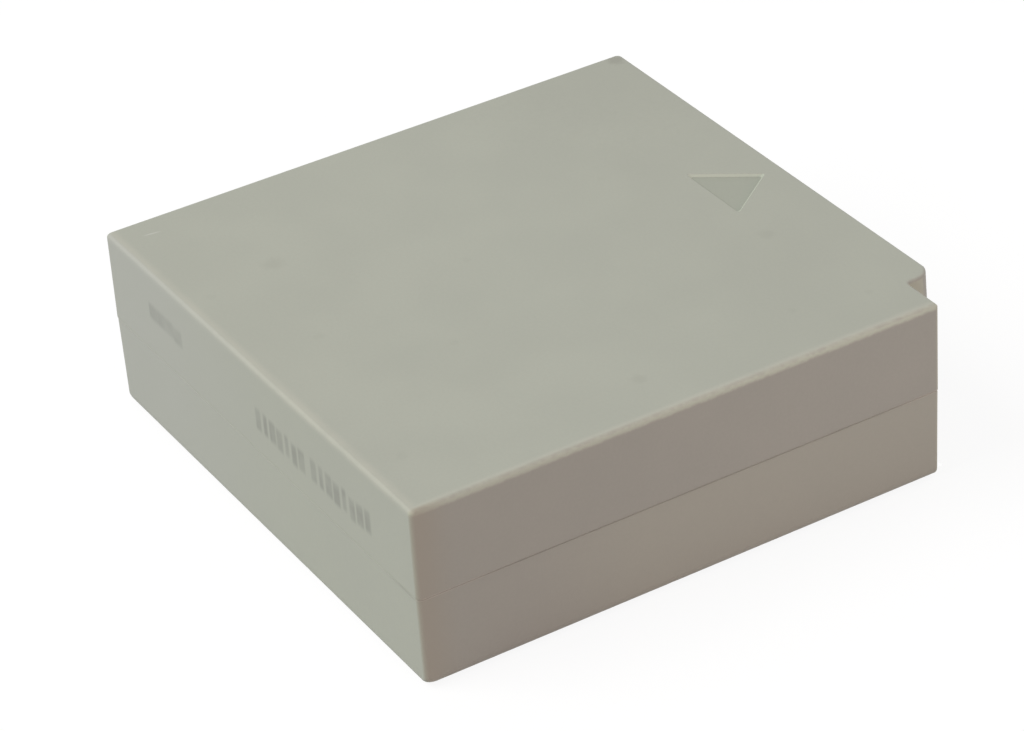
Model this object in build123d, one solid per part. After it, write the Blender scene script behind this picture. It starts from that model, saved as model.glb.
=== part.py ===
from build123d import *
from math import cos, radians, sin, tan
import os

# A flat two-cell rechargeable camera battery pack, in millimetres, +Z up.
# The origin is the middle of the base. +Y is the way the pack slides into its bay,
# so the contacts look out of the +Y end. The keying notch is at the +X, +Y corner.

# Outer form
pack_width = 40.0
pack_length = 40.4
pack_height = 13.2
parting_height = 6.7
corner_radius = 0.3
top_rim_radius = 0.25
top_corner_radius = 0.35
bottom_rim_radius = 0.8
bottom_corner_radius = 1.5
rim_steps = 6
top_draft_angle = 0.1
bottom_draft_angle = 0.6
shell_step = 0.03
seam_chamfer = 0.06

# Keying notch
notch_width = 3.2
notch_depth = 2.1
notch_root_radius = 0.3
notch_rim_radius = 0.2
notch_flare_radius = 0.7
notch_top_flare_radius = 1.3

# Shell walls, and the lap joint round the parting line
side_wall = 1.2
floor_wall = 1.0
roof_wall = 1.0
inner_radius = 0.3
lip_thickness = 0.5
lip_height = 0.8
lip_clearance = 0.05

# Arrow sunk in the top face, a little off the middle
arrow_base = 6.4
arrow_length = 4.3
arrow_tip_margin = 1.4
arrow_offset = 0.1
arrow_depth = 0.18
arrow_wall_angle = 45.0
arrow_corner_radius = 0.15

# Blank label in its recess under the base
label_margin = 4.0
label_corner_radius = 1.5
label_thickness = 0.1
label_recess_depth = 0.15
label_clearance = 0.15

# Contact slots through the end wall, open to the parting line in each shell
contact_count = 3
contact_pitch = 4.2
slot_width = 1.8
slot_below = 2.4
slot_above = 2.0
contact_overlap = 0.4
contact_thickness = 0.4
contact_edge_radius = 0.1
contact_wall_gap = 0.2

# Protection board, standing behind the end wall
board_thickness = 0.8
board_edge_clearance = 0.1
board_end_gap = 1.2
board_notch_gap = 0.3
component_space = 1.9
rail_thickness = 1.0
rail_clearance = 0.1
rail_lead_gap = 0.3

# Cells and what lies between them
cell_side_clearance = 0.1
can_edge_radius = 1.2
can_base_radius = 0.4
can_lid_radius = 0.15
base_tape_thickness = 0.1
cell_tape_thickness = 0.1
top_pad_thickness = 0.2
tape_margin = 3.0

# Cell headers
terminal_height = 0.5
terminal_length = 5.0
terminal_width = 2.0
terminal_edge_radius = 0.15
gasket_length = 8.0
gasket_width = 3.0
gasket_thickness = 0.3
gasket_floor = 0.15
gasket_clearance = 0.1
header_paper_thickness = 0.3
header_paper_clearance = 0.2
header_wall_gap = 0.3

# Weld tabs and nickel strip
weld_tab_length = 3.0
weld_tab_width = 2.6
weld_tab_gap = 2.0
base_tab_thickness = 0.2
base_wall_gap = 0.15
base_tab_inset = 5.0
strip_thickness = 0.15
strip_width = 2.4
strip_bend_radius = 0.6
strip_joggle_run = 1.2
strip_lead_in = 0.8
strip_pad_length = 3.0

# Thermal cut-off beside the lower cell
cutoff_length = 4.0
cutoff_width = 3.0
cutoff_thickness = 0.9
cutoff_inset = 2.8
cutoff_edge_radius = 0.15

# Paper between the cells and the board
paper_thickness = 0.15
paper_end_margin = 1.5

# End stops that hold the cells clear of the end walls
stop_thickness = 1.2
stop_inset = 0.4
stop_clearance = 0.1
stop_spacing = 16.0

# Parts soldered to the inner face of the board
switch_length = 4.4
switch_width = 3.0
switch_height = 1.0
guard_length = 2.9
guard_width = 1.6
guard_height = 1.1
package_draft = 8.0
leg_thickness = 0.15
leg_width = 0.3
leg_reach = 0.5
switch_leg_pitch = 0.65
switch_legs = 4
guard_leg_pitch = 0.95
guard_legs = 3
chip_length = 1.0
chip_width = 0.5
resistor_height = 0.35
capacitor_height = 0.5
chip_count = 3
chip_pitch = 1.3
chip_edge_radius = 0.06
thermistor_length = 1.6
thermistor_width = 0.8
thermistor_height = 0.8
component_gap = 1.0

# Places worked out from the sizes above
half_width = pack_width / 2
half_length = pack_length / 2
cavity_left = side_wall - half_width
cavity_right = half_width - side_wall
cavity_back = side_wall - half_length
cavity_front = half_length - side_wall
cavity_top = pack_height - roof_wall
notch_left = half_width - notch_width
notch_front = half_length - notch_depth

# Along Y, from the end wall with the contact slots back to the cells
contact_face = cavity_front - contact_wall_gap
board_front = contact_face - contact_thickness
board_back = board_front - board_thickness
paper_face = board_back - component_space
cell_front = paper_face - paper_thickness
cell_back = cavity_back + cell_side_clearance
cell_width = cell_front - cell_back
cell_y = (cell_front + cell_back) / 2
lane_y = paper_face + cutoff_thickness / 2
solder_y = board_back - strip_thickness / 2

# Along X, from the header end of the cells to their plain end
strip_left = cavity_left + header_wall_gap
header_face = strip_left + strip_thickness
cell_left = header_face + terminal_height
strip_right = cavity_right - base_wall_gap
base_tab_face = strip_right - strip_thickness
cell_right = base_tab_face - base_tab_thickness
cell_length = cell_right - cell_left
header_strip_x = strip_left + strip_thickness / 2
base_strip_x = strip_right - strip_thickness / 2
board_left = cavity_left + board_end_gap
board_right = notch_left - side_wall - board_notch_gap
cutoff_left = cell_left + cutoff_inset
cutoff_right = cutoff_left + cutoff_length
cutoff_lead_bend = cutoff_right + strip_lead_in
cutoff_lead_solder = cutoff_lead_bend + strip_joggle_run
cutoff_lead_end = cutoff_lead_solder + strip_pad_length
switch_left = cutoff_lead_end + component_gap + leg_reach
guard_left = switch_left + switch_width + component_gap + 2 * leg_reach
resistor_left = guard_left + guard_width + component_gap + leg_reach
capacitor_left = resistor_left + chip_length + component_gap
thermistor_left = capacitor_left + chip_length + component_gap

# Along Z, from the floor to the roof
stack_room = pack_height - floor_wall - roof_wall
soft_layers = base_tape_thickness + cell_tape_thickness + top_pad_thickness
cell_thickness = (stack_room - soft_layers) / 2
lower_cell_bottom = floor_wall + base_tape_thickness
lower_cell_z = lower_cell_bottom + cell_thickness / 2
lower_cell_top = lower_cell_bottom + cell_thickness
upper_cell_bottom = lower_cell_top + cell_tape_thickness
upper_cell_z = upper_cell_bottom + cell_thickness / 2
upper_cell_top = upper_cell_bottom + cell_thickness
board_bottom = floor_wall + board_edge_clearance
board_top = cavity_top - board_edge_clearance
board_z = (board_bottom + board_top) / 2
rail_height = lower_cell_z - strip_width / 2 - rail_lead_gap - floor_wall

weld_tab_y = cell_y - gasket_length / 2 - weld_tab_gap - weld_tab_length / 2
base_tab_y = cell_front - base_tab_inset
stop_y = cell_back + stop_inset
header_paper_back = stop_y + stop_thickness + header_paper_clearance


def block(x_span, y_span, z_span):
    x_size = x_span[1] - x_span[0]
    y_size = y_span[1] - y_span[0]
    z_size = z_span[1] - z_span[0]
    corner = (Align.MIN, Align.MIN, Align.MIN)
    return Pos(x_span[0], y_span[0], z_span[0]) * Box(x_size, y_size, z_size, align=corner)


def about(middle, size):
    return (middle - size / 2, middle + size / 2)


# The inside plan of the pack, inset from its outside and stepping in round the notch
def inside_plan(inset):
    left = inset - half_width
    right = half_width - inset
    back = inset - half_length
    front = half_length - inset
    step_x = notch_left - inset
    step_y = notch_front - inset
    corners = [(left, back), (right, back), (right, step_y), (step_x, step_y), (step_x, front), (left, front)]
    return make_face(FilletPolyline(*corners, radius=inner_radius, close=True))


def inside_block(inset, bottom, top):
    return Pos(0, 0, bottom) * extrude(inside_plan(inset), amount=top - bottom)


def outline(inset, radius):
    return RectangleRounded(pack_width - 2 * inset, pack_length - 2 * inset, radius)


# The plan of the notch as a cutter that reaches past the corner. Its wall flares out to the end face.
def notch_plan(inset, flare_radius):
    left = notch_left - inset
    front = notch_front - inset
    root_radius = notch_root_radius + inset
    far_x = half_width + side_wall
    far_y = half_length + side_wall
    key_wall = Line((far_x, front), (left + root_radius, front))
    root = JernArc(key_wall @ 1, (-1, 0), root_radius, -90)
    end_wall = Line(root @ 1, (left, half_length - flare_radius))
    flare = JernArc(end_wall @ 1, (0, 1), flare_radius - inset, 90)
    outside = Polyline(flare @ 1, (notch_left - flare_radius, far_y), (far_x, far_y), (far_x, front))
    return make_face(key_wall + root + end_wall + flare + outside)


# How far a rounded rim has come in and gone up, as shares of its radius, step by step
def rim_turns():
    turns = [radians(90 * step / rim_steps) for step in range(rim_steps + 1)]
    return [(1 - cos(turn), sin(turn)) for turn in turns]


# The notch through one half of the case, its edge on the far face rounded
def notch(height, far_flare_radius):
    wall_top = height - notch_rim_radius
    wall_face = Pos(0, 0, wall_top) * notch_plan(0, far_flare_radius)
    cutter = loft([notch_plan(0, notch_flare_radius), wall_face], ruled=True)
    rim_faces = []
    for inward, upward in rim_turns():
        rim_face = notch_plan(notch_rim_radius * inward, far_flare_radius)
        rim_faces.append(Pos(0, 0, wall_top + notch_rim_radius * upward) * rim_face)
    return cutter + loft(rim_faces)


# One half of the case as a solid, its bevelled seam edge down on the XY plane, drawn in upwards to a
# rounded rim. The corners open out round the rim, up to far_corner_radius on the far face.
def half_block(height, inset, draft_angle, rim_radius, far_corner_radius):
    wall_top = height - rim_radius
    wall_inset = inset + (wall_top - seam_chamfer) * tan(radians(draft_angle))
    seam_face = outline(inset + seam_chamfer, corner_radius)
    widest_face = Pos(0, 0, seam_chamfer) * outline(inset, corner_radius)
    wall_face = Pos(0, 0, wall_top) * outline(wall_inset, corner_radius)
    body = loft([seam_face, widest_face, wall_face], ruled=True)
    rim_faces = []
    for inward, upward in rim_turns():
        radius = corner_radius + (far_corner_radius - corner_radius) * inward
        rim_face = outline(wall_inset + rim_radius * inward, radius)
        rim_faces.append(Pos(0, 0, wall_top + rim_radius * upward) * rim_face)
    return body + loft(rim_faces)


def contact_places():
    first = -contact_pitch * (contact_count - 1) / 2
    return [first + contact_pitch * index for index in range(contact_count)]


def contact_slots():
    slots = Part()
    y_span = (contact_face, half_length + side_wall)
    z_span = (parting_height - slot_below, parting_height + slot_above)
    for x in contact_places():
        slots += block(about(x, slot_width), y_span, z_span)
    return slots


# Low rails that keep the board up against the end wall, near its two ends
def board_rails(z_span):
    y_span = (paper_face + rail_clearance, board_back - rail_clearance)
    left_rail = block((board_left, board_left + rail_thickness), y_span, z_span)
    right_rail = block((board_right - rail_thickness, board_right), y_span, z_span)
    return left_rail + right_rail


def header_stop(z_span):
    x_span = (cavity_left - side_wall / 2, cell_left - stop_clearance)
    return block(x_span, (stop_y, stop_y + stop_thickness), z_span)


# The recess that points the way in, with sloping walls
def arrow():
    tip_y = half_length - arrow_tip_margin
    base_y = tip_y - arrow_length
    corners = [(-arrow_base / 2, base_y), (arrow_base / 2, base_y), (0, tip_y)]
    mouth = make_face(Polyline(*corners, close=True))
    wall_run = arrow_depth * tan(radians(arrow_wall_angle))
    floor = offset(mouth, amount=-wall_run, kind=Kind.INTERSECTION)
    mouth = fillet(mouth.vertices(), radius=arrow_corner_radius)
    floor = fillet(floor.vertices(), radius=arrow_corner_radius)
    floor_z = pack_height - arrow_depth
    recess = loft([Pos(0, 0, floor_z) * floor, Pos(0, 0, pack_height) * mouth], ruled=True)
    return Pos(arrow_offset, 0, 0) * recess


def upper_shell():
    height = pack_height - parting_height
    body = half_block(height, 0, top_draft_angle, top_rim_radius, top_corner_radius)
    body = Pos(0, 0, parting_height) * (body - notch(height, notch_top_flare_radius))
    body -= inside_block(side_wall, parting_height, cavity_top)
    rebate_top = parting_height + lip_height + lip_clearance
    body -= inside_block(side_wall - lip_thickness - lip_clearance, parting_height, rebate_top)
    body += board_rails((cavity_top - rail_height, cavity_top + roof_wall / 2))
    body += header_stop((rebate_top, cavity_top + roof_wall / 2))
    body -= contact_slots()
    return body - arrow()


def label_face(margin):
    size_x = pack_width - 2 * margin
    size_y = pack_length - 2 * margin
    radius = label_corner_radius + label_margin - margin
    return RectangleRounded(size_x, size_y, radius)


def base_stops(z_span):
    x_span = (cell_right + stop_clearance, cavity_right + side_wall / 2)
    first = block(x_span, about(cell_y - stop_spacing / 2, stop_thickness), z_span)
    second = block(x_span, about(cell_y + stop_spacing / 2, stop_thickness), z_span)
    return first + second


def lower_shell():
    body = half_block(
        parting_height, shell_step, bottom_draft_angle, bottom_rim_radius, bottom_corner_radius
    )
    body -= notch(parting_height, notch_flare_radius)
    body = Pos(0, 0, parting_height) * mirror(body, about=Plane.XY)
    lip_top = parting_height + lip_height
    body += inside_block(side_wall - lip_thickness, parting_height - lip_height, lip_top)
    body -= inside_block(side_wall, floor_wall, lip_top)
    body += board_rails((floor_wall / 2, floor_wall + rail_height))
    body += header_stop((floor_wall / 2, parting_height))
    body += base_stops((floor_wall / 2, parting_height))
    body -= contact_slots()
    return body - extrude(label_face(label_margin - label_clearance), amount=label_recess_depth)


def rating_label():
    bottom = label_recess_depth - label_thickness
    return Pos(0, 0, bottom) * extrude(label_face(label_margin), amount=label_thickness)


# A drawn can with its welded lid at the -X end
def cell_can(middle_z):
    section = Plane.YZ * RectangleRounded(cell_width, cell_thickness, can_edge_radius)
    can = extrude(section, amount=cell_length)
    base_edges = can.faces().sort_by(Axis.X)[-1].edges()
    can = fillet(base_edges, radius=can_base_radius)
    lid_edges = can.faces().sort_by(Axis.X)[0].edges()
    can = fillet(lid_edges, radius=can_lid_radius)
    return Pos(cell_left, cell_y, middle_z) * can


# The tray that insulates a terminal from its lid
def cell_gasket(middle_z):
    x_span = (cell_left - gasket_thickness, cell_left)
    tray = block(x_span, about(cell_y, gasket_length), about(middle_z, gasket_width))
    pocket_x = (cell_left - gasket_thickness, cell_left - gasket_floor)
    pocket_y = about(cell_y, terminal_length + 2 * gasket_clearance)
    pocket_z = about(middle_z, terminal_width + 2 * gasket_clearance)
    return tray - block(pocket_x, pocket_y, pocket_z)


def cell_terminal(middle_z):
    x_span = (header_face, cell_left - gasket_floor)
    plate = block(x_span, about(cell_y, terminal_length), about(middle_z, terminal_width))
    return fillet(plate.edges().filter_by(Axis.X), radius=terminal_edge_radius)


def header_weld_tab():
    x_span = (header_face, cell_left)
    return block(x_span, about(weld_tab_y, weld_tab_length), about(lower_cell_z, weld_tab_width))


def base_weld_tab():
    x_span = (cell_right, base_tab_face)
    return block(x_span, about(base_tab_y, weld_tab_length), about(upper_cell_z, weld_tab_width))


def flat_layer(bottom, thickness):
    x_span = (cell_left + tape_margin, cell_right - tape_margin)
    y_span = (cell_back + tape_margin, cell_front - tape_margin)
    return block(x_span, y_span, (bottom, bottom + thickness))


# Paper over both lids, cut out round the terminals and the weld tab
def header_paper():
    x_span = (cell_left - header_paper_thickness, cell_left)
    y_span = (header_paper_back, cell_front - can_edge_radius)
    z_span = (lower_cell_bottom + can_edge_radius, upper_cell_top - can_edge_radius)
    paper = block(x_span, y_span, z_span)
    hole_y = about(cell_y, gasket_length + 2 * header_paper_clearance)
    hole_size_z = gasket_width + 2 * header_paper_clearance
    paper -= block(x_span, hole_y, about(lower_cell_z, hole_size_z))
    paper -= block(x_span, hole_y, about(upper_cell_z, hole_size_z))
    tab_y = about(weld_tab_y, weld_tab_length + 2 * header_paper_clearance)
    tab_z = about(lower_cell_z, weld_tab_width + 2 * header_paper_clearance)
    return paper - block(x_span, tab_y, tab_z)


def board_paper():
    x_span = (cell_left + paper_end_margin, cell_right - paper_end_margin)
    z_span = (lower_cell_bottom + can_edge_radius, upper_cell_top - can_edge_radius)
    return block(x_span, (cell_front, paper_face), z_span)


# Nickel strip standing on edge along a route in plan, with rounded bends
def strip(route, middle_z):
    path = FilletPolyline(*route, radius=strip_bend_radius)
    ribbon = extrude(trace(path, line_width=strip_thickness), amount=strip_width)
    return Pos(0, 0, middle_z - strip_width / 2) * ribbon


# Lower can to upper terminal, and on to the middle tap of the board
def series_link():
    pad_end = board_left + strip_pad_length
    route = [(header_strip_x, weld_tab_y), (header_strip_x, solder_y), (pad_end, solder_y)]
    riser_z = (lower_cell_z - strip_width / 2, upper_cell_z + strip_width / 2)
    riser = block((strip_left, header_face), about(weld_tab_y, strip_width), riser_z)
    return riser + strip(route, upper_cell_z)


def negative_lead():
    start_y = cell_y - terminal_length / 2
    route = [(header_strip_x, start_y), (header_strip_x, lane_y), (cutoff_left, lane_y)]
    return strip(route, lower_cell_z)


def thermal_cutoff():
    y_span = (paper_face, paper_face + cutoff_thickness)
    body = block((cutoff_left, cutoff_right), y_span, about(lower_cell_z, cutoff_width))
    return fillet(body.edges().filter_by(Axis.Y), radius=cutoff_edge_radius)


def cutoff_lead():
    start = (cutoff_right, lane_y)
    bend = (cutoff_lead_bend, lane_y)
    return strip([start, bend, (cutoff_lead_solder, solder_y), (cutoff_lead_end, solder_y)], lower_cell_z)


def positive_lead():
    start = (base_strip_x, base_tab_y - weld_tab_length / 2)
    corner = (base_strip_x, lane_y)
    bend_x = board_right - strip_lead_in
    solder_x = bend_x - strip_joggle_run
    end_x = solder_x - strip_pad_length
    route = [start, corner, (bend_x, lane_y), (solder_x, solder_y), (end_x, solder_y)]
    return strip(route, upper_cell_z)


def circuit_board():
    return block((board_left, board_right), (board_back, board_front), (board_bottom, board_top))


def contact(x):
    slot_middle = parting_height + (slot_above - slot_below) / 2
    size_x = slot_width + 2 * contact_overlap
    size_z = slot_below + slot_above + 2 * contact_overlap
    plate = block(about(x, size_x), (board_front, contact_face), about(slot_middle, size_z))
    front_edges = plate.faces().sort_by(Axis.Y)[-1].edges()
    return fillet(front_edges, radius=contact_edge_radius)


# A moulded package with a row of legs on each long side, standing off the board towards -Y
def leaded_package(x_left, length, width, height, legs, pitch):
    middle = (x_left + width / 2, board_back, board_z)
    solder_plane = Plane(origin=middle, x_dir=(1, 0, 0), z_dir=(0, -1, 0))
    package = extrude(Rectangle(width, length), amount=height - leg_thickness, taper=package_draft)
    package = Pos(0, 0, leg_thickness) * package
    first = -pitch * (legs - 1) / 2
    for index in range(legs):
        foot = (0, first + pitch * index, leg_thickness / 2)
        package += Pos(*foot) * Box(width + 2 * leg_reach, leg_width, leg_thickness)
    return solder_plane * package


def chip(x_left, middle_z, length, width, height):
    y_span = (board_back - height, board_back)
    body = block((x_left, x_left + length), y_span, about(middle_z, width))
    return fillet(body.edges().filter_by(Axis.Y), radius=chip_edge_radius)


def chip_column(x_left, height):
    first = board_z - chip_pitch * (chip_count - 1) / 2
    places = [first + chip_pitch * index for index in range(chip_count)]
    return [chip(x_left, z, chip_length, chip_width, height) for z in places]


contact_names = ["negative_contact", "signal_contact", "positive_contact"]

nodes = {
    "upper_shell": upper_shell(),
    "lower_shell": lower_shell(),
    "rating_label": rating_label(),
    "lower_cell_can": cell_can(lower_cell_z),
    "lower_cell_gasket": cell_gasket(lower_cell_z),
    "lower_cell_terminal": cell_terminal(lower_cell_z),
    "lower_cell_weld_tab": header_weld_tab(),
    "upper_cell_can": cell_can(upper_cell_z),
    "upper_cell_gasket": cell_gasket(upper_cell_z),
    "upper_cell_terminal": cell_terminal(upper_cell_z),
    "upper_cell_weld_tab": base_weld_tab(),
    "base_tape": flat_layer(floor_wall, base_tape_thickness),
    "cell_tape": flat_layer(lower_cell_top, cell_tape_thickness),
    "top_pad": flat_layer(upper_cell_top, top_pad_thickness),
    "header_paper": header_paper(),
    "board_paper": board_paper(),
    "series_link": series_link(),
    "negative_lead": negative_lead(),
    "thermal_cutoff": thermal_cutoff(),
    "cutoff_lead": cutoff_lead(),
    "positive_lead": positive_lead(),
    "circuit_board": circuit_board(),
    "switch_package": leaded_package(
        switch_left, switch_length, switch_width, switch_height, switch_legs, switch_leg_pitch
    ),
    "guard_package": leaded_package(
        guard_left, guard_length, guard_width, guard_height, guard_legs, guard_leg_pitch
    ),
    "chip_resistors": Compound(children=chip_column(resistor_left, resistor_height)),
    "chip_capacitors": Compound(children=chip_column(capacitor_left, capacitor_height)),
    "thermistor": chip(
        thermistor_left, board_z, thermistor_length, thermistor_width, thermistor_height
    ),
}
for name, x in zip(contact_names, contact_places()):
    nodes[name] = contact(x)

os.makedirs("parts", exist_ok=True)
for name, shape in nodes.items():
    export_step(shape, f"parts/{name}.step")
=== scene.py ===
from math import radians

import bpy
from mathutils import Matrix, Vector


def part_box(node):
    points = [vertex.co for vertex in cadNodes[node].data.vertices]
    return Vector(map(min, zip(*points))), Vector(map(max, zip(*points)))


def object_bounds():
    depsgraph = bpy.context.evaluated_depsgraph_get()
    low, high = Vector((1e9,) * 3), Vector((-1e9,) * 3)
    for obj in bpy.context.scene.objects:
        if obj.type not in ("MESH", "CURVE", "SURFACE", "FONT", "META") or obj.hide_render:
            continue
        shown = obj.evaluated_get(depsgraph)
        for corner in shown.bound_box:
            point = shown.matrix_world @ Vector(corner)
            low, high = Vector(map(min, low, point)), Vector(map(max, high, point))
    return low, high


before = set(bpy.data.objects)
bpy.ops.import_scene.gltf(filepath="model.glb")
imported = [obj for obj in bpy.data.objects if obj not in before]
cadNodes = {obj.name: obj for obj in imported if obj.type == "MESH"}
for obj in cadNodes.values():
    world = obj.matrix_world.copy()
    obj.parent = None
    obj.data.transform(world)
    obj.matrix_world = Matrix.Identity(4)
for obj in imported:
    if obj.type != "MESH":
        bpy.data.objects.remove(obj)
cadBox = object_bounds()
mm = 0.001
topZ = cadBox[1].z
backY = cadBox[0].y  # the end away from the contacts, where the ink is
rightX = cadBox[1].x  # the notched side
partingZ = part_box("upper_shell")[0].z
noiseRange = (0.3, 0.7)  # noise mostly keeps to this
white = (1.0, 1.0, 1.0)
print("frame loaded:", len(cadNodes), "nodes, case", [round(s / mm, 2) for s in cadBox[1] - cadBox[0]])


def metres(values):
    return [value * mm for value in values]


def startMaterial(name):
    material = bpy.data.materials.new(name)
    material.use_nodes = True
    tree = material.node_tree
    coords = tree.nodes.new("ShaderNodeTexCoord").outputs["Object"]
    return material, tree, tree.nodes["Principled BSDF"], coords


def put(tree, kind, inputs, **settings):
    made = tree.nodes.new("ShaderNode" + kind)
    for key, value in settings.items():
        setattr(made, key, value)
    for key, value in inputs.items():
        if isinstance(value, bpy.types.NodeSocket):
            tree.links.new(value, made.inputs[key])
        else:
            made.inputs[key].default_value = (*value, 1.0) if made.inputs[key].type == "RGBA" else value
    return made


def calc(tree, operation, first, second=0.0):
    return put(tree, "Math", {0: first, 1: second}, operation=operation).outputs[0]


def fade(tree, value, start, end, low=0.0, high=1.0):  # smooth step from low to high
    ends = {"Value": value, "From Min": start, "From Max": end, "To Min": low, "To Max": high}
    return put(tree, "MapRange", ends, interpolation_type="SMOOTHSTEP").outputs["Result"]


def fadeMm(tree, value, ends, low=0.0, high=1.0):  # the same between two ends in mm
    return fade(tree, value, *metres(ends), low, high)


def vary(tree, noise, low, high):
    return fade(tree, noise, *noiseRange, low, high)


def within(tree, value, low, high, soft):  # 1 between low and high, with soft ends
    rise = fade(tree, value, low - soft, low + soft)
    fall = fade(tree, value, high - soft, high + soft, 1.0, 0.0)
    return calc(tree, "MULTIPLY", rise, fall)


def both(tree, *masks):
    product = masks[0]
    for mask in masks[1:]:
        product = calc(tree, "MULTIPLY", product, mask)
    return product


def axes(tree, coords):
    parts = put(tree, "SeparateXYZ", {0: coords})
    return parts.outputs["X"], parts.outputs["Y"], parts.outputs["Z"]


def stretched(tree, coords, scale):
    return put(tree, "Mapping", {"Vector": coords, "Scale": scale}).outputs["Vector"]


def distance(tree, coords, point):
    return put(tree, "VectorMath", {0: coords, 1: point}, operation="DISTANCE").outputs["Value"]


def inFrom(tree, value, low, high):  # how far in from the nearer of two ends
    return calc(tree, "MINIMUM", calc(tree, "SUBTRACT", value, low), calc(tree, "SUBTRACT", high, value))


def insideBy(tree, x, y, low, high):  # how far in from the nearest side of a box seen from above
    return calc(tree, "MINIMUM", inFrom(tree, x, low.x, high.x), inFrom(tree, y, low.y, high.y))


def grain(tree, coords, size, detail=2.0, roughness=0.5):  # noise with features about size across
    settings = {"Vector": coords, "Scale": 1.0 / size, "Detail": detail, "Roughness": roughness}
    return put(tree, "TexNoise", settings).outputs["Fac"]


def mixed(tree, factor, first, second, mode="MIX"):
    return put(tree, "Mix", {0: factor, 6: first, 7: second}, data_type="RGBA", blend_type=mode).outputs[2]


def shade(tree, colour, noise, gains):  # colour times the lower to the higher gain
    gain = vary(tree, noise, *gains)
    return put(tree, "VectorMath", {0: colour, "Scale": gain}, operation="SCALE").outputs["Vector"]


def relief(tree, height, depth, under=None):
    made = put(tree, "Bump", {"Height": height, "Distance": depth, "Strength": 1.0})
    if under:
        tree.links.new(under, made.inputs["Normal"])
    return made.outputs["Normal"]


def finishShader(tree, shader, colour, roughness, normal):
    tree.links.new(colour, shader.inputs["Base Color"])
    tree.links.new(roughness, shader.inputs["Roughness"])
    tree.links.new(normal, shader.inputs["Normal"])


def dress(material, *names):
    for name in names:
        mesh = cadNodes[name].data
        mesh.materials.clear()
        mesh.materials.append(material)


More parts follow.
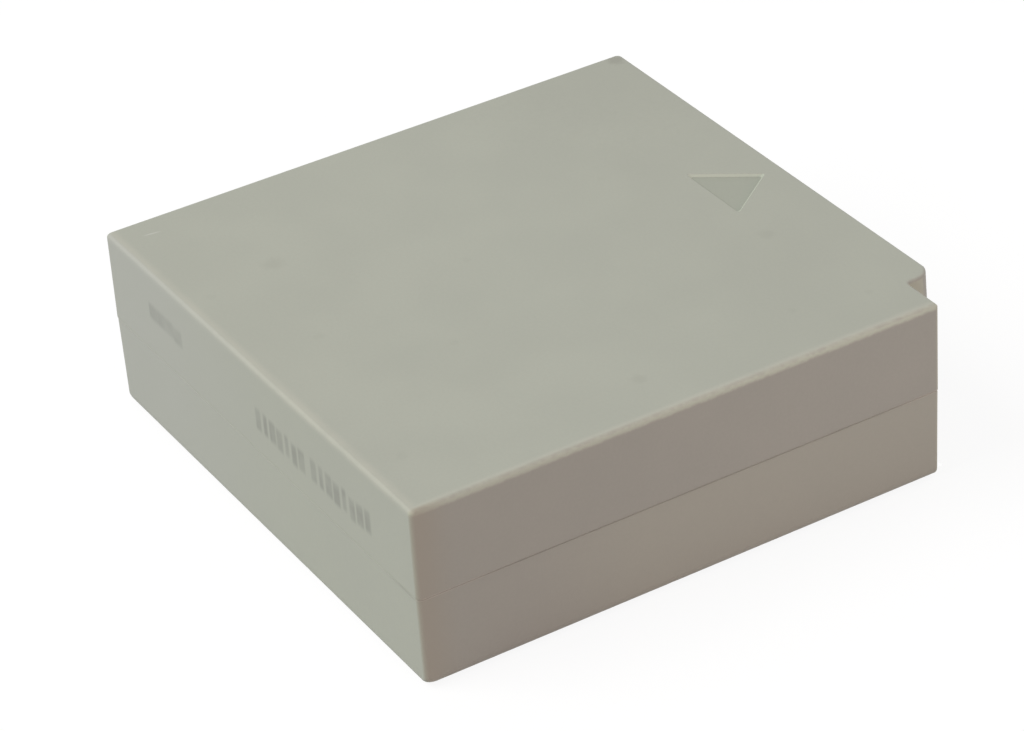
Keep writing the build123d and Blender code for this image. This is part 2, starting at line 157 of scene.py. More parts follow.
# Case plastic: grey-green moulding, fine sparked grain, painted edge highlights, painted light and shade on
# the sides, dusty seam, smudges, ink
# A pair named for a reach, a place, levels, depths or a skin gives the two ends of a fade or a band, in mm
casePlastic = {
    "colour": (0.424, 0.440, 0.376),
    "grimeAndShade": (0.2, 0.19, 0.16),
    "roughness": 0.62,
    "roughnessByMottle": 0.05,
    "roughnessByGrain": 0.03,
    "specular": 0.4,
    "grainSize": 0.22 * mm,
    "grainDepth": 0.004 * mm,
    "grainGains": (0.985, 1.015),
    "mottleSize": 7 * mm,
    "mottleGains": (0.975, 1.025),
    "waveSize": 9 * mm,  # faint unevenness of the flat faces
    "waveDepth": 0.02 * mm,
    "raggedSize": 0.5 * mm,
    "topSkin": (-0.2, -0.1),
    "endSkin": (0.1, 0.4),
    "sideSkin": (0.1, 0.4),
    # the arrow's sunk floor is darker; its sloping walls are painted lighter, a painted highlight
    "arrow": {
        "field": (-3.4, 3.8, 13.8, 19.2),  # left, right, back and front in mm
        "fieldSoft": 0.1 * mm,
        "floorLevels": (-0.3, -0.16),
        "floorShade": (0.865, 0.875, 0.86),
        "wallLevels": (-0.15, -0.02),
        "wallColour": (0.55, 0.60, 0.49),
        "wallHighlight": 0.6,
        "levelSoft": 0.01 * mm,
    },
    # painted highlight along the upper edges, in patches, which also polishes them smoother
    "edges": {
        "colour": (0.54, 0.53, 0.45),
        "levels": (-0.6, -0.2),
        "endReach": (0.3, 0.9), "endHighlight": 0.42,
        "sideReach": (0.2, 0.7), "sideHighlight": 0.45,
        "patchSize": 1.6 * mm, "patchRange": (0.25, 0.6), "patchLeast": 0.55,
        "polish": 0.12,
    },
    # painted highlight in a band under the rim of the notched side
    "rimHighlight": {
        "colour": (0.62, 0.70, 0.55), "depths": (0.1, 0.38), "soft": 0.14 * mm,
        "ragged": 0.04 * mm, "strength": 0.8,
    },
    # a tan tint at the upright corner, partly painted shade darkening it
    "tan": {"colour": (0.41, 0.385, 0.29), "reach": (0.3, 3.0), "strength": 0.5},
    # painted shade: the notched side darker towards the ink-marked end
    "darkening": {"reach": (0.0, 36.0), "strength": 0.2},
    "lowerPale": {
        "colour": (0.516, 0.544, 0.418), "reach": (-14.0, -3.0), "levels": (-0.05, 0.05), "strength": 0.25,
    },
    # painted light in the notch below its rim
    "notch": {
        "colour": (0.53, 0.57, 0.45), "leftReach": (16.65, 16.75), "backReach": (17.95, 18.05),
        "levels": (-0.3, -0.1), "strength": 0.8,
    },
    # painted cool light, paler and bluer, on the ink-marked end towards low x
    "endCoolLight": {"colour": (0.455, 0.465, 0.43), "reach": (-20.0, 8.0), "strength": 0.6},
    "seam": {
        "line": 0.1, "lineReach": (0.04, 0.12),
        "dust": 0.05, "dustReach": (0.08, 0.4),
        "corner": 0.3, "cornerReach": (0.06, 0.22), "cornerPlace": (15.0, 18.0),
        "streakStretch": (0.3, 0.3, 0.05), "streakSize": 0.5 * mm,
        "streakRange": (0.3, 0.65), "streakLeast": 0.5,
        # fill is painted light in the seam's groove near the ends, making up for its shade
        "fill": (0.66, 0.65, 0.56), "grooveLightReach": (0.07, 0.12),
        "endGrooveLight": 0.1, "endGrooveLightPlace": (13.0, 19.0),
        "sideGrooveLight": 0.45, "cornerGrooveLightPlace": (-19.0, -12.0), "notchFillPlace": (13.0, 18.0),
    },
    "top": {
        "darkening": (0.02, 0.07),  # towards the ink-marked end and towards the contacts
        "darkeningReach": (-2.0, 17.0),
        "smudges": [  # x, y and radius in mm, strength
            (-9.7, -13.1, 1.0, 0.11), (-0.2, -15.0, 0.5, 0.06), (-8.6, -18.3, 0.5, 0.05),
            (5.6, -8.5, 0.5, 0.06), (-2.5, -2.8, 0.5, 0.05), (-6.0, 9.7, 0.45, 0.04),
            (6.6, 14.4, 0.75, 0.1), (16.0, -1.6, 0.75, 0.12), (15.2, 10.4, 0.45, 0.06),
            # the last two entries darken the back corner and the top round it
            (14.5, -17.5, 0.6, 0.06), (16.3, 15.5, 0.4, 0.07), (-19.3, 19.5, 0.9, 0.3),
            (-20.0, 20.0, 15.0, 0.06),
        ],
        "smudgeCore": 0.2,  # share of the radius at full strength
        "smudgeRange": (0.2, 0.8),
        "smudgeRagged": (0.7, 1.3),
        "scratchMiddle": (-18.0, -17.7, 0.0), "scratchTurn": 82,
        "scratchLength": 1.6 * mm, "scratchWidth": 0.22 * mm,
        "scratchCore": 0.3, "scratch": 0.15,
    },
    "ink": {
        "colour": (0.17, 0.17, 0.155),
        "skin": (0.15, 0.25),
        "marks": [  # left, right, bottom, top and pitch in mm, range of half a block in pitches, strength
            ((0.1, 6.6, 8.5, 10.05, 0.93), (0.28, 0.46), 0.46),
            ((7.2, 14.9, 8.45, 10.05, 0.96), (0.28, 0.46), 0.46),
            ((-14.3, -9.7, 9.4, 10.55, 1.15), (0.55, 0.65), 0.3),
        ],
        "blockSoft": (-0.16, 0.1),
        "rowSoft": 0.25 * mm,
        "runSoft": 0.1 * mm,
        "uneven": 0.12 * mm,
        "reshuffle": 7.0,  # makes a second chance out of a block's first
        "wearSize": 1.3 * mm, "wearRange": (0.35, 0.65), "wearLeast": 0.6,
    },
}


def casePlaces(tree, coords, p):  # where a point of the case lies, and which face it is on
    x, y, z = axes(tree, coords)
    fromTop = calc(tree, "SUBTRACT", z, topZ)
    fromBack = calc(tree, "SUBTRACT", y, backY)
    fromRight = calc(tree, "SUBTRACT", rightX, x)
    return {
        "coords": coords, "x": x, "y": y, "z": z,
        "fromTop": fromTop, "fromBack": fromBack, "fromRight": fromRight,
        "overSeam": calc(tree, "SUBTRACT", z, partingZ),
        "flat": put(tree, "CombineXYZ", {"X": x, "Y": y, "Z": 0.0}).outputs[0],
        "onTop": fadeMm(tree, fromTop, p["topSkin"]),
        "onEnd": fadeMm(tree, fromBack, p["endSkin"], 1.0, 0.0),
        "onSide": fadeMm(tree, fromRight, p["sideSkin"], 1.0, 0.0),
        "ragged": grain(tree, coords, p["raggedSize"], 3.0),
    }


def toneArrow(tree, at, colour, p):  # a floor a shade darker than the face round it, and sloping walls painted lighter as a painted highlight
    left, right, back, front = metres(p["field"])
    field = both(tree, within(tree, at["x"], left, right, p["fieldSoft"]),
                 within(tree, at["y"], back, front, p["fieldSoft"]))
    sunk = within(tree, at["fromTop"], *metres(p["floorLevels"]), p["levelSoft"])
    colour = mixed(tree, both(tree, sunk, field), colour, p["floorShade"], "MULTIPLY")
    slope = within(tree, at["fromTop"], *metres(p["wallLevels"]), p["levelSoft"])
    return mixed(tree, both(tree, slope, field, p["wallHighlight"]), colour, p["wallColour"])


def edgeHighlightMask(tree, at, p):  # painted highlight on the upper edges over the ink-marked end and the notched side
    overEnd = fadeMm(tree, at["fromBack"], p["endReach"], p["endHighlight"], 0.0)
    overSide = fadeMm(tree, at["fromRight"], p["sideReach"], p["sideHighlight"], 0.0)
    nearTop = fadeMm(tree, at["fromTop"], p["levels"])
    patches = grain(tree, at["coords"], p["patchSize"], 4.0, 0.65)
    patchy = fade(tree, patches, *p["patchRange"], p["patchLeast"], 1.0)
    return both(tree, calc(tree, "MAXIMUM", overEnd, overSide), nearTop, patchy)


def toneSides(tree, at, colour, p):
    rimHighlight, tan, darkening = p["rimHighlight"], p["tan"], p["darkening"]
    lower, notch, pale = p["lowerPale"], p["notch"], p["endCoolLight"]
    # the notched side: painted highlight in a band under the rim, a tan upright corner partly painted shade,
    # painted shade towards the ink-marked end, a paler lower half
    depth = calc(tree, "SUBTRACT", vary(tree, at["ragged"], -rimHighlight["ragged"], rimHighlight["ragged"]), at["fromTop"])
    edgeBand = within(tree, depth, *metres(rimHighlight["depths"]), rimHighlight["soft"])
    colour = mixed(tree, both(tree, edgeBand, at["onSide"], rimHighlight["strength"]), colour, rimHighlight["colour"])
    tanned = both(tree, fadeMm(tree, at["fromBack"], tan["reach"], tan["strength"], 0.0), at["onSide"])
    colour = mixed(tree, tanned, colour, tan["colour"])
    darkened = both(tree, fadeMm(tree, at["fromBack"], darkening["reach"], darkening["strength"], 0.0), at["onSide"])
    colour = mixed(tree, darkened, colour, p["grimeAndShade"])
    lowerHalf = fadeMm(tree, at["overSeam"], lower["levels"], lower["strength"], 0.0)
    paler = both(tree, lowerHalf, fadeMm(tree, at["y"], lower["reach"]), at["onSide"])
    colour = mixed(tree, paler, colour, lower["colour"])
    # painted light in the notched corner, and painted cool light on the ink-marked end
    notchLit = both(tree, fadeMm(tree, at["x"], notch["leftReach"]), fadeMm(tree, at["y"], notch["backReach"]),
                   fadeMm(tree, at["fromTop"], notch["levels"], notch["strength"], 0.0))
    colour = mixed(tree, notchLit, colour, notch["colour"])
    coolLit = both(tree, fadeMm(tree, at["x"], pale["reach"], pale["strength"], 0.0), at["onEnd"])
    return mixed(tree, coolLit, colour, pale["colour"])


def toneSeam(tree, at, colour, grimeAndShade, p):  # dirt, a faint dusty band beside it, and painted light in the groove near the ends that makes up for its shade
    fromSeam = calc(tree, "ABSOLUTE", at["overSeam"])
    streaks = grain(tree, stretched(tree, at["coords"], p["streakStretch"]), p["streakSize"], 3.0)
    streak = fade(tree, streaks, *p["streakRange"], p["streakLeast"], 1.0)
    line = fadeMm(tree, fromSeam, p["lineReach"], p["line"], 0.0)
    dust = fadeMm(tree, fromSeam, p["dustReach"], p["dust"], 0.0)
    corner = both(tree, fadeMm(tree, fromSeam, p["cornerReach"], p["corner"], 0.0),
                  fadeMm(tree, at["x"], p["cornerPlace"]), at["onEnd"])
    dirt = calc(tree, "MAXIMUM", calc(tree, "ADD", line, dust), corner)
    colour = mixed(tree, both(tree, dirt, streak), colour, grimeAndShade)
    endGrooveLight = both(tree, fadeMm(tree, at["x"], p["endGrooveLightPlace"], p["endGrooveLight"], 0.0), at["onEnd"])
    byCorner = fadeMm(tree, at["y"], p["cornerGrooveLightPlace"], 1.0, 0.0)
    byNotch = fadeMm(tree, at["y"], p["notchFillPlace"])
    sideGrooveLight = both(tree, calc(tree, "MAXIMUM", byCorner, byNotch), at["onSide"], p["sideGrooveLight"])
    core = fadeMm(tree, fromSeam, p["grooveLightReach"], 1.0, 0.0)
    grooveLit = both(tree, calc(tree, "MAXIMUM", endGrooveLight, sideGrooveLight), core, streak)
    return mixed(tree, grooveLit, colour, p["fill"])


def toneTop(tree, at, colour, grimeAndShade, p):  # a little darkening towards the contacts, smudges and one pale scratch
    darkened = both(tree, fadeMm(tree, at["y"], p["darkeningReach"], *p["darkening"]), at["onTop"])
    colour = mixed(tree, darkened, colour, grimeAndShade)
    uneven = fade(tree, at["ragged"], *p["smudgeRange"], *p["smudgeRagged"])
    for x, y, radius, strength in p["smudges"]:
        reach = both(tree, distance(tree, at["flat"], metres((x, y, 0.0))), uneven)
        spot = fadeMm(tree, reach, (p["smudgeCore"] * radius, radius), strength, 0.0)
        colour = mixed(tree, both(tree, spot, at["onTop"]), colour, grimeAndShade)
    place = {
        "Vector": at["flat"],
        "Location": metres(p["scratchMiddle"]),
        "Rotation": (0.0, 0.0, radians(p["scratchTurn"])),
        "Scale": (p["scratchLength"] / 2, p["scratchWidth"] / 2, 1.0),
    }
    turned = put(tree, "Mapping", place, vector_type="TEXTURE").outputs["Vector"]
    reach = put(tree, "VectorMath", {0: turned}, operation="LENGTH").outputs["Value"]
    scratch = both(tree, fade(tree, reach, p["scratchCore"], 1.0, p["scratch"], 0.0), at["onTop"])
    return mixed(tree, scratch, colour, white)


def inkMark(tree, at, wear, spans, halfBlock, strength, p):  # worn blocks, or a smear where they meet
    left, right, bottom, top, pitch = metres(spans)
    along = calc(tree, "DIVIDE", calc(tree, "SUBTRACT", at["x"], left), pitch)
    cell = calc(tree, "FLOOR", along)
    chance = put(tree, "TexWhiteNoise", {"W": cell}, noise_dimensions="1D").outputs["Value"]
    across = calc(tree, "ABSOLUTE", calc(tree, "SUBTRACT", calc(tree, "FRACT", along), 0.5))
    pastBlock = calc(tree, "SUBTRACT", across, fade(tree, chance, 0.0, 1.0, *halfBlock))
    block = fade(tree, pastBlock, *p["blockSoft"], 1.0, 0.0)
    second = calc(tree, "FRACT", calc(tree, "MULTIPLY", chance, p["reshuffle"]))
    level = calc(tree, "ADD", at["z"], fade(tree, second, 0.0, 1.0, -p["uneven"], p["uneven"]))
    row = within(tree, level, bottom, top, p["rowSoft"])
    run = within(tree, at["x"], left, right, p["runSoft"])
    onEnd = fadeMm(tree, at["fromBack"], p["skin"], 1.0, 0.0)
    return both(tree, block, row, run, onEnd, wear, strength)


def toneInk(tree, at, colour, p):
    thin = grain(tree, at["coords"], p["wearSize"], 1.0, 0.4)
    wear = fade(tree, thin, *p["wearRange"], p["wearLeast"], 1.0)
    for spans, halfBlock, strength in p["marks"]:
        colour = mixed(tree, inkMark(tree, at, wear, spans, halfBlock, strength, p), colour, p["colour"])
    return colour


def makeCasePlastic(name, p):
    material, tree, shader, coords = startMaterial(name)
    at = casePlaces(tree, coords, p)
    mottle = grain(tree, coords, p["mottleSize"], 3.0)
    fine = grain(tree, coords, p["grainSize"], 2.0, 0.6)
    colour = shade(tree, shade(tree, p["colour"], mottle, p["mottleGains"]), fine, p["grainGains"])
    colour = toneArrow(tree, at, colour, p["arrow"])
    # rub is a painted highlight on the upper edges, and also makes them smoother
    rub = edgeHighlightMask(tree, at, p["edges"])
    colour = mixed(tree, rub, colour, p["edges"]["colour"])
    colour = toneSides(tree, at, colour, p)
    colour = toneSeam(tree, at, colour, p["grimeAndShade"], p["seam"])
    colour = toneTop(tree, at, colour, p["grimeAndShade"], p["top"])
    colour = toneInk(tree, at, colour, p["ink"])
    byMottle, byGrain = p["roughnessByMottle"], p["roughnessByGrain"]
    roughness = calc(tree, "ADD", vary(tree, mottle, p["roughness"] - byMottle, p["roughness"] + byMottle),
                     vary(tree, fine, -byGrain, byGrain))
    roughness = calc(tree, "SUBTRACT", roughness, both(tree, rub, p["edges"]["polish"]))
    wave = relief(tree, grain(tree, coords, p["waveSize"], 1.0), p["waveDepth"])
    finishShader(tree, shader, colour, roughness, relief(tree, fine, p["grainDepth"], wave))
    shader.inputs["Specular IOR Level"].default_value = p["specular"]
    return material


dress(makeCasePlastic("casePlastic", casePlastic), "upper_shell", "lower_shell")
print("case plastic on both shells")


# Label: blank matte film with a thin border, fine tooth, rubbed patches and paler worn edges
labelFilm = {
    "colour": (0.52, 0.53, 0.50),
    "border": (0.33, 0.34, 0.32),
    "borderInset": 1.0 * mm,
    "borderWidth": 0.3 * mm,
    "borderSoft": 0.03 * mm,
    "toothSize": 0.1 * mm,
    "toothDepth": 0.002 * mm,
    "toothGains": (0.98, 1.02),
    "rubSize": 4.5 * mm,
    "rubGains": (0.95, 1.03),
    "wornColour": (0.7, 0.7, 0.68),
    "wornReach": (0.0, 0.5),  # in mm
    "wornRange": (0.35, 0.6),
    "edgeBand": 0.25,
    "roughness": (0.38, 0.54),
}


def makeLabelFilm(name, p):
    material, tree, shader, coords = startMaterial(name)
    x, y, _ = axes(tree, coords)
    tooth = grain(tree, coords, p["toothSize"], 2.0, 0.6)
    rub = grain(tree, coords, p["rubSize"], 4.0, 0.6)
    colour = shade(tree, shade(tree, p["colour"], rub, p["rubGains"]), tooth, p["toothGains"])
    inside = insideBy(tree, x, y, *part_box("rating_label"))
    border = within(tree, inside, p["borderInset"], p["borderInset"] + p["borderWidth"], p["borderSoft"])
    colour = mixed(tree, border, colour, p["border"])
    edgeBand = both(tree, fadeMm(tree, inside, p["wornReach"], p["edgeBand"], 0.0), fade(tree, rub, *p["wornRange"]))
    colour = mixed(tree, edgeBand, colour, p["wornColour"])
    finishShader(tree, shader, colour, vary(tree, rub, *p["roughness"]), relief(tree, tooth, p["toothDepth"]))
    return material


dress(makeLabelFilm("labelFilm", labelFilm), "rating_label")
print("label film done")


# Metals: drawn cans, rolled strip, clad tabs and gilded contacts, each with its own run of fine lines
canAluminium = {
    "colour": (0.66, 0.67, 0.68), "tarnish": (0.47, 0.47, 0.46), "tarnishSize": 6 * mm, "tarnishMost": 0.35,
    "lineScale": (0.02, 1.0, 1.0), "lineSize": 0.12 * mm, "lineDepth": 0.0015 * mm, "roughness": 0.34,
}
nickelStrip = {
    "colour": (0.62, 0.60, 0.55), "tarnish": (0.42, 0.38, 0.32), "tarnishSize": 2.2 * mm, "tarnishMost": 0.3,
    "lineScale": (0.05, 0.05, 1.0), "lineSize": 0.08 * mm, "lineDepth": 0.001 * mm, "roughness": 0.3,
    "weldRadius": 0.55 * mm, "weldSpread": 0.7 * mm, "weldDepth": 0.05 * mm, "weldTarnish": 0.6,
    "weldCore": 0.35,  # share of the radius at full depth
    "weldedTo": ["lower_cell_terminal", "upper_cell_terminal", "lower_cell_weld_tab", "upper_cell_weld_tab"],
}
tabAluminium = {
    "colour": (0.70, 0.70, 0.70), "tarnish": (0.52, 0.52, 0.51), "tarnishSize": 1.5 * mm, "tarnishMost": 0.25,
    "lineScale": (1.0, 0.05, 1.0), "lineSize": 0.07 * mm, "lineDepth": 0.001 * mm, "roughness": 0.38,
}
contactGold = {
    "colour": (0.83, 0.62, 0.25), "tarnish": (0.60, 0.52, 0.36), "tarnishSize": 1.2 * mm, "tarnishMost": 0.4,
    "lineScale": (1.0, 1.0, 0.04), "lineSize": 0.06 * mm, "lineDepth": 0.0012 * mm, "roughness": 0.26,
}
anyMetal = {
    "lineGains": (0.93, 1.05), "tarnishRange": (0.45, 0.75),
    "smoother": 0.04, "duller": 0.1, "roughnessByLines": 0.05,
}


def weldPoints(names, spread):  # two welds on each tab or terminal
    points = []
    for name in names:
        low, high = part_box(name)
        middle = (low + high) / 2
        points += [middle + Vector((0, side * spread, 0)) for side in (-1, 1)]
    return points


def makeMetal(name, p, common):
    material, tree, shader, coords = startMaterial(name)
    lines = grain(tree, stretched(tree, coords, p["lineScale"]), p["lineSize"], 3.0, 0.6)
    stain = grain(tree, coords, p["tarnishSize"], 4.0, 0.6)
    colour = shade(tree, p["colour"], lines, common["lineGains"])
    tarnish = fade(tree, stain, *common["tarnishRange"], 0.0, p["tarnishMost"])
    colour = mixed(tree, tarnish, colour, p["tarnish"])
    byStain = vary(tree, stain, p["roughness"] - common["smoother"], p["roughness"] + common["duller"])
    byLines = vary(tree, lines, -common["roughnessByLines"], common["roughnessByLines"])
    normal = relief(tree, lines, p["lineDepth"])
    dents = None
    for point in weldPoints(p.get("weldedTo", []), p.get("weldSpread", 0.0)):
        reach = distance(tree, coords, point)
        dent = fade(tree, reach, p["weldCore"] * p["weldRadius"], p["weldRadius"], 1.0, 0.0)
        dents = calc(tree, "MAXIMUM", dents, dent) if dents else dent
    if dents:
        colour = mixed(tree, both(tree, dents, p["weldTarnish"]), colour, p["tarnish"])
        normal = relief(tree, calc(tree, "SUBTRACT", 1.0, dents), p["weldDepth"], normal)
    finishShader(tree, shader, colour, calc(tree, "ADD", byStain, byLines), normal)
    shader.inputs["Metallic"].default_value = 1.0
    return material


dress(makeMetal("canAluminium", canAluminium, anyMetal), "lower_cell_can", "upper_cell_can")
dress(makeMetal("nickelStrip", nickelStrip, anyMetal), "lower_cell_terminal", "upper_cell_terminal",
      "series_link", "negative_lead", "cutoff_lead", "positive_lead")
dress(makeMetal("tabAluminium", tabAluminium, anyMetal), "lower_cell_weld_tab", "upper_cell_weld_tab")
dress(makeMetal("contactGold", contactGold, anyMetal), "negative_contact", "signal_contact",
      "positive_contact")
print("metals done")


# Soft layers: tape, foam and insulating paper
tapeFilm = {
    "colour": (0.75, 0.74, 0.70), "fibreScale": (0.15, 1.0, 1.0),
    "fibreSize": 0.25 * mm, "fibreDepth": 0.006 * mm, "fibreGains": (0.94, 1.04),
    "bubbleSize": 1.4 * mm, "bubbleGains": (0.96, 1.03), "bubbleRange": (0.35, 0.65),
    "roughness": (0.32, 0.55),
}
foamPad = {
    "colour": (0.08, 0.08, 0.08), "cellSize": 0.18 * mm, "cellDepth": 0.06 * mm, "cellGains": (0.7, 1.2),
    "mottleSize": 3 * mm, "mottleGains": (0.85, 1.15), "roughness": (0.86, 0.92),
}
fishPaper = {
    "colour": (0.30, 0.38, 0.30),
    "uprightScale": (1.0, 1.0, 0.15), "levelScale": (0.15, 0.15, 1.0),
    "fibreSize": 0.3 * mm, "fibreDepth": 0.01 * mm, "fibreGains": (0.85, 1.1),
    "mottleSize": 3.5 * mm, "mottleGains": (0.94, 1.05), "roughness": (0.72, 0.88),
}


def makeTape(name, p):
    material, tree, shader, coords = startMaterial(name)
    fibres = grain(tree, stretched(tree, coords, p["fibreScale"]), p["fibreSize"], 3.0, 0.6)
    bubbles = grain(tree, coords, p["bubbleSize"], 2.0)
    colour = shade(tree, shade(tree, p["colour"], fibres, p["fibreGains"]), bubbles, p["bubbleGains"])
    roughness = fade(tree, bubbles, *p["bubbleRange"], *p["roughness"])
    finishShader(tree, shader, colour, roughness, relief(tree, fibres, p["fibreDepth"]))
    return material


def makeFoam(name, p):
    material, tree, shader, coords = startMaterial(name)
    cells = put(tree, "TexVoronoi", {"Vector": coords, "Scale": 1.0 / p["cellSize"]}).outputs["Distance"]
    mottle = grain(tree, coords, p["mottleSize"], 3.0)
    colour = shade(tree, shade(tree, p["colour"], cells, p["cellGains"]), mottle, p["mottleGains"])
    roughness = vary(tree, mottle, *p["roughness"])
    finishShader(tree, shader, colour, roughness, relief(tree, cells, p["cellDepth"]))
    return material


def makePaper(name, p):
    material, tree, shader, coords = startMaterial(name)
    upright = grain(tree, stretched(tree, coords, p["uprightScale"]), p["fibreSize"], 4.0, 0.7)
    level = grain(tree, stretched(tree, coords, p["levelScale"]), p["fibreSize"], 4.0, 0.7)
    fibres = calc(tree, "MAXIMUM", upright, level)
    mottle = grain(tree, coords, p["mottleSize"], 3.0)
    colour = shade(tree, shade(tree, p["colour"], fibres, p["fibreGains"]), mottle, p["mottleGains"])
    roughness = vary(tree, fibres, *p["roughness"])
    finishShader(tree, shader, colour, roughness, relief(tree, fibres, p["fibreDepth"]))
    return material


dress(makeTape("tapeFilm", tapeFilm), "base_tape", "cell_tape")
dress(makeFoam("foamPad", foamPad), "top_pad")
dress(makePaper("fishPaper", fishPaper), "header_paper", "board_paper")
print("tape, foam and paper done")


# Moulded insulators, leaded packages and fired chips, with tinned metal where they are soldered
gasketPlastic = {
    "colour": (0.78, 0.78, 0.74), "grainSize": 0.15 * mm, "grainDepth": 0.004 * mm, "roughness": 0.45,
}
cutoffPlastic = {
    "colour": (0.05, 0.05, 0.055), "grainSize": 0.1 * mm, "grainDepth": 0.003 * mm, "roughness": 0.5,
}
packagePlastic = {
    "colour": (0.03, 0.03, 0.03), "grainSize": 0.06 * mm, "grainDepth": 0.003 * mm, "roughness": 0.55,
    "legs": 0.15 * mm,
}
resistorChip = {
    "colour": (0.035, 0.035, 0.04), "grainSize": 0.05 * mm, "grainDepth": 0.001 * mm, "roughness": 0.25,
    "caps": 0.22 * mm,
}
capacitorChip = {
    "colour": (0.35, 0.27, 0.18), "grainSize": 0.05 * mm, "grainDepth": 0.002 * mm, "roughness": 0.4,
    "caps": 0.25 * mm,
}
thermistorChip = {
    "colour": (0.10, 0.16, 0.12), "grainSize": 0.05 * mm, "grainDepth": 0.002 * mm, "roughness": 0.35,
    "caps": 0.35 * mm,
}
anyMoulded = {
    "tinned": (0.68, 0.67, 0.64), "tinnedGains": (0.9, 1.05), "capRagged": 0.02 * mm, "solderSoft": 0.1,
    "mottleTimes": 8,  # mottle to grain in size
    "mottleGains": (0.88, 1.12), "grainGains": (0.94, 1.06), "smoother": 0.06, "duller": 0.08,
}


def makeMoulded(name, p, common, box):
    material, tree, shader, coords = startMaterial(name)
    x, y, _ = axes(tree, coords)
    low, high = box
    fine = grain(tree, coords, p["grainSize"], 3.0, 0.6)
    mottle = grain(tree, coords, common["mottleTimes"] * p["grainSize"], 3.0)
    colour = shade(tree, shade(tree, p["colour"], mottle, common["mottleGains"]), fine, common["grainGains"])
    roughness = vary(tree, mottle, p["roughness"] - common["smoother"], p["roughness"] + common["duller"])
    inner, outer = 1.0 - common["solderSoft"], 1.0 + common["solderSoft"]
    soldered = None
    if "legs" in p:
        soldered = fade(tree, y, high.y - outer * p["legs"], high.y - p["legs"])
    if "caps" in p:
        ragged = vary(tree, fine, -common["capRagged"], common["capRagged"])
        fromEnd = calc(tree, "ADD", inFrom(tree, x, low.x, high.x), ragged)
        soldered = fade(tree, fromEnd, inner * p["caps"], outer * p["caps"], 1.0, 0.0)
    if soldered:
        colour = mixed(tree, soldered, colour, shade(tree, common["tinned"], mottle, common["tinnedGains"]))
        tree.links.new(soldered, shader.inputs["Metallic"])
    finishShader(tree, shader, colour, roughness, relief(tree, fine, p["grainDepth"]))
    return material


for piece, look in {
    "lower_cell_gasket": gasketPlastic, "upper_cell_gasket": gasketPlastic, "thermal_cutoff": cutoffPlastic,
    "switch_package": packagePlastic, "guard_package": packagePlastic, "chip_resistors": resistorChip,
    "chip_capacitors": capacitorChip, "thermistor": thermistorChip,
}.items():
    dress(makeMoulded(piece, look, anyMoulded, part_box(piece)), piece)
print("moulded parts and chips done")


# Board: green solder mask over a weave, paler tracks under it, bare laminate edges
boardLaminate = {
    "mask": (0.03, 0.18, 0.07), "maskGains": (0.85, 1.15),
    "mottleSize": 2.5 * mm,
    "track": (0.07, 0.27, 0.11), "trackPitch": 1.9 * mm, "trackWidth": 0.55 * mm,
    "trackSoft": 0.03 * mm, "trackDepth": 0.03 * mm,
    "jogEvery": 5 * mm, "jogReach": (2.0, 3.0), "jog": 0.6 * mm,  # where the tracks step aside, reach in mm
    "weave": (0.1, 0.3, 0.15), "weaveSize": 0.35 * mm, "weaveShown": 0.05,
    "laminate": (0.55, 0.50, 0.30), "laminateGains": (0.9, 1.1),
    "edge": 0.02 * mm,
    "roughness": (0.25, 0.65), "roughnessRange": (0.1, 1.3), "mottleShare": 0.5,
}


def makeBoard(name, p, box):
    material, tree, shader, coords = startMaterial(name)
    x, _, z = axes(tree, coords)
    low, high = box
    mottle = grain(tree, coords, p["mottleSize"], 3.0)
    jog = fadeMm(tree, calc(tree, "PINGPONG", x, p["jogEvery"]), p["jogReach"], 0.0, p["jog"])
    fromTrack = calc(tree, "PINGPONG", calc(tree, "ADD", z, jog), p["trackPitch"] / 2)
    halfTrack = p["trackWidth"] / 2
    track = fade(tree, fromTrack, halfTrack - p["trackSoft"], halfTrack + p["trackSoft"], 1.0, 0.0)
    weave = put(tree, "TexChecker", {"Vector": coords, "Scale": 1.0 / p["weaveSize"]}).outputs["Fac"]
    colour = mixed(tree, track, shade(tree, p["mask"], mottle, p["maskGains"]), p["track"])
    colour = mixed(tree, both(tree, weave, p["weaveShown"]), colour, p["weave"])
    fromEdge = calc(tree, "MINIMUM", inFrom(tree, x, low.x, high.x), inFrom(tree, z, low.z, high.z))
    bare = fade(tree, fromEdge, p["edge"] / 2, p["edge"], 1.0, 0.0)
    colour = mixed(tree, bare, colour, shade(tree, p["laminate"], mottle, p["laminateGains"]))
    dulled = calc(tree, "ADD", both(tree, mottle, p["mottleShare"]), bare)
    roughness = fade(tree, dulled, *p["roughnessRange"], *p["roughness"])
    finishShader(tree, shader, colour, roughness, relief(tree, track, p["trackDepth"]))
    return material


dress(makeBoard("boardLaminate", boardLaminate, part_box("circuit_board")), "circuit_board")
print("board done")


# Studio: pale floor that keeps a soft shadow, even surround, soft key light, warm fill and weak back light
studio = {
    "surround": (0.40, 0.40, 0.40),
    "floorSize": 4.0,
    "floorDrop": 0.02 * mm,  # keeps the floor clear of the base's own faces
    "floorColour": (0.55, 0.55, 0.55),
    "floorShown": (0.12, 0.12, 0.12),
    "floorGlow": 0.9,
    "clearReach": (0.9, 1.1),  # in from the sides of the case, in mm
    "key": {"place": (-0.22, -0.68, 0.80), "size": 0.7, "power": 7.65, "colour": (1.0, 1.0, 0.98)},
    "fill": {"place": (0.80, 0.12, 0.12), "size": 0.5, "power": 1.95, "colour": (1.0, 0.56, 0.60)},
    "back": {"place": (-0.30, 0.85, 0.35), "size": 0.6, "power": 1.0, "colour": white},
}


def seenMask(tree):  # 1 for the camera and for what metal and glass reflect
    rays = put(tree, "LightPath", {}).outputs
    seen = calc(tree, "MAXIMUM", rays["Is Camera Ray"], rays["Is Glossy Ray"])
    return calc(tree, "MAXIMUM", seen, rays["Is Transmission Ray"])


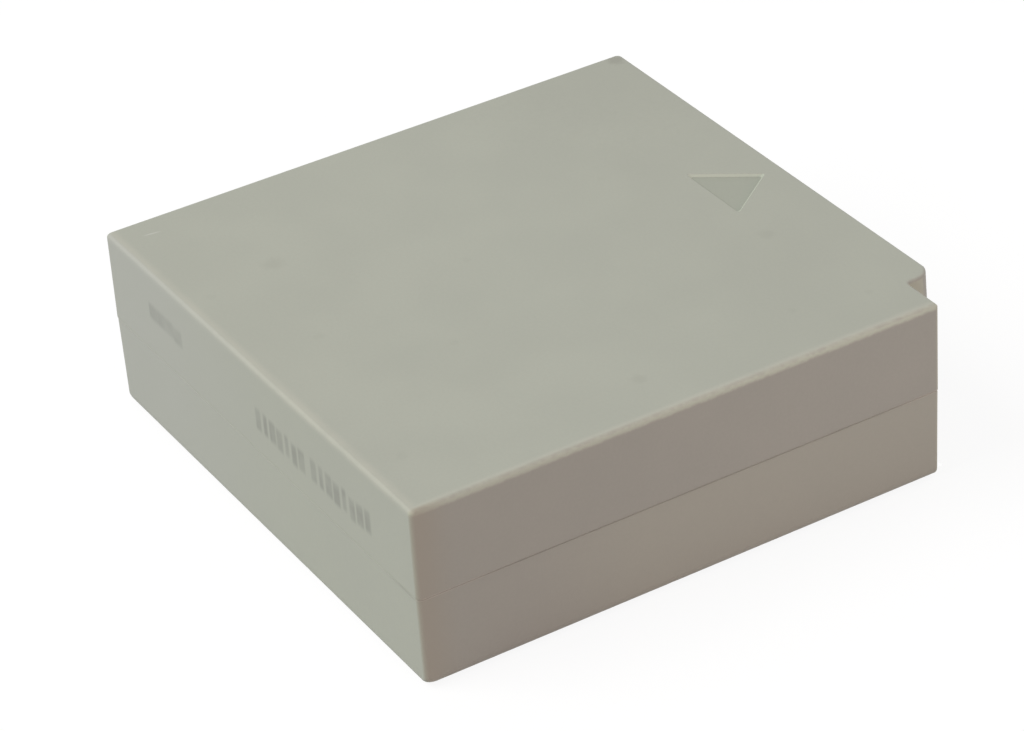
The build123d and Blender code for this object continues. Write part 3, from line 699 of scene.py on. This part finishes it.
def makeFloor(p):
    bpy.ops.mesh.primitive_plane_add(size=p["floorSize"], location=(0.0, 0.0, cadBox[0].z - p["floorDrop"]))
    floor = bpy.context.object
    floor.name = "floor"
    material = bpy.data.materials.new("paleFloor")
    material.use_nodes = True
    tree = material.node_tree
    tree.nodes.remove(tree.nodes["Principled BSDF"])
    plain = put(tree, "BsdfDiffuse", {"Color": p["floorColour"]}).outputs[0]
    shown = put(tree, "BsdfDiffuse", {"Color": p["floorShown"]}).outputs[0]
    glow = put(tree, "Emission", {"Color": white, "Strength": p["floorGlow"]}).outputs[0]
    lit = put(tree, "AddShader", {0: shown, 1: glow}).outputs[0]
    chosen = put(tree, "MixShader", {0: seenMask(tree), 1: plain, 2: lit}).outputs[0]
    # clear from below and under the base, so that the base can be looked at
    clear = put(tree, "BsdfTransparent", {}).outputs[0]
    fromBelow = put(tree, "NewGeometry", {}).outputs["Backfacing"]
    x, y, _ = axes(tree, put(tree, "TexCoord", {}).outputs["Object"])
    covered = fadeMm(tree, insideBy(tree, x, y, *cadBox), p["clearReach"])
    unseen = calc(tree, "MAXIMUM", fromBelow, covered)
    chosen = put(tree, "MixShader", {0: unseen, 1: chosen, 2: clear}).outputs[0]
    tree.links.new(chosen, tree.nodes["Material Output"].inputs["Surface"])
    floor.data.materials.append(material)


def makeSurround(p):
    world = bpy.data.worlds.new("surround")
    world.use_nodes = True
    tree = world.node_tree
    even = tree.nodes["Background"]
    even.inputs["Color"].default_value = (*p["surround"], 1.0)
    blank = put(tree, "Background", {"Color": white}).outputs[0]
    chosen = put(tree, "MixShader", {0: seenMask(tree), 1: even.outputs[0], 2: blank}).outputs[0]
    tree.links.new(chosen, tree.nodes["World Output"].inputs["Surface"])
    bpy.context.scene.world = world


def addSoftbox(name, p, target):
    lamp = bpy.data.lights.new(name, "AREA")
    lamp.shape = "SQUARE"
    lamp.size = p["size"]
    lamp.energy = p["power"]
    lamp.color = p["colour"]
    box = bpy.data.objects.new(name, lamp)
    box.location = p["place"]
    box.rotation_euler = (target - Vector(p["place"])).to_track_quat("-Z", "Y").to_euler()
    bpy.context.scene.collection.objects.link(box)


middle = (cadBox[0] + cadBox[1]) / 2
makeFloor(studio)
makeSurround(studio)
addSoftbox("keyLight", studio["key"], middle)
addSoftbox("fillLight", studio["fill"], middle)
addSoftbox("backLight", studio["back"], middle)
print("studio ready")


# Camera at the viewing angle of the photograph
view = {
    "azimuth": 60.694, "elevation": 32.651, "roll": -4.129,  # in degrees
    "shift": (-1.163, -1.109, 256.556),  # aside, up and away from the case's middle, in mm
    "lens": 138.228, "sensor": 36.0, "nearest": 0.01,
}


def addCamera(p, target):
    lens = bpy.data.cameras.new("camera")
    lens.sensor_width = p["sensor"]
    lens.lens = p["lens"]
    lens.clip_start = p["nearest"]
    turn = Matrix.Rotation(radians(p["azimuth"]), 4, "Z")
    turn = turn @ Matrix.Rotation(radians(90 - p["elevation"]), 4, "X")
    turn = turn @ Matrix.Rotation(radians(p["roll"]), 4, "Z")
    camera = bpy.data.objects.new("camera", lens)
    camera.matrix_world = Matrix.Translation(target) @ turn @ Matrix.Translation(metres(p["shift"]))
    bpy.context.scene.collection.objects.link(camera)
    bpy.context.scene.camera = camera


addCamera(view, middle)
bpy.context.scene.view_settings.view_transform = "Standard"
print("camera set")
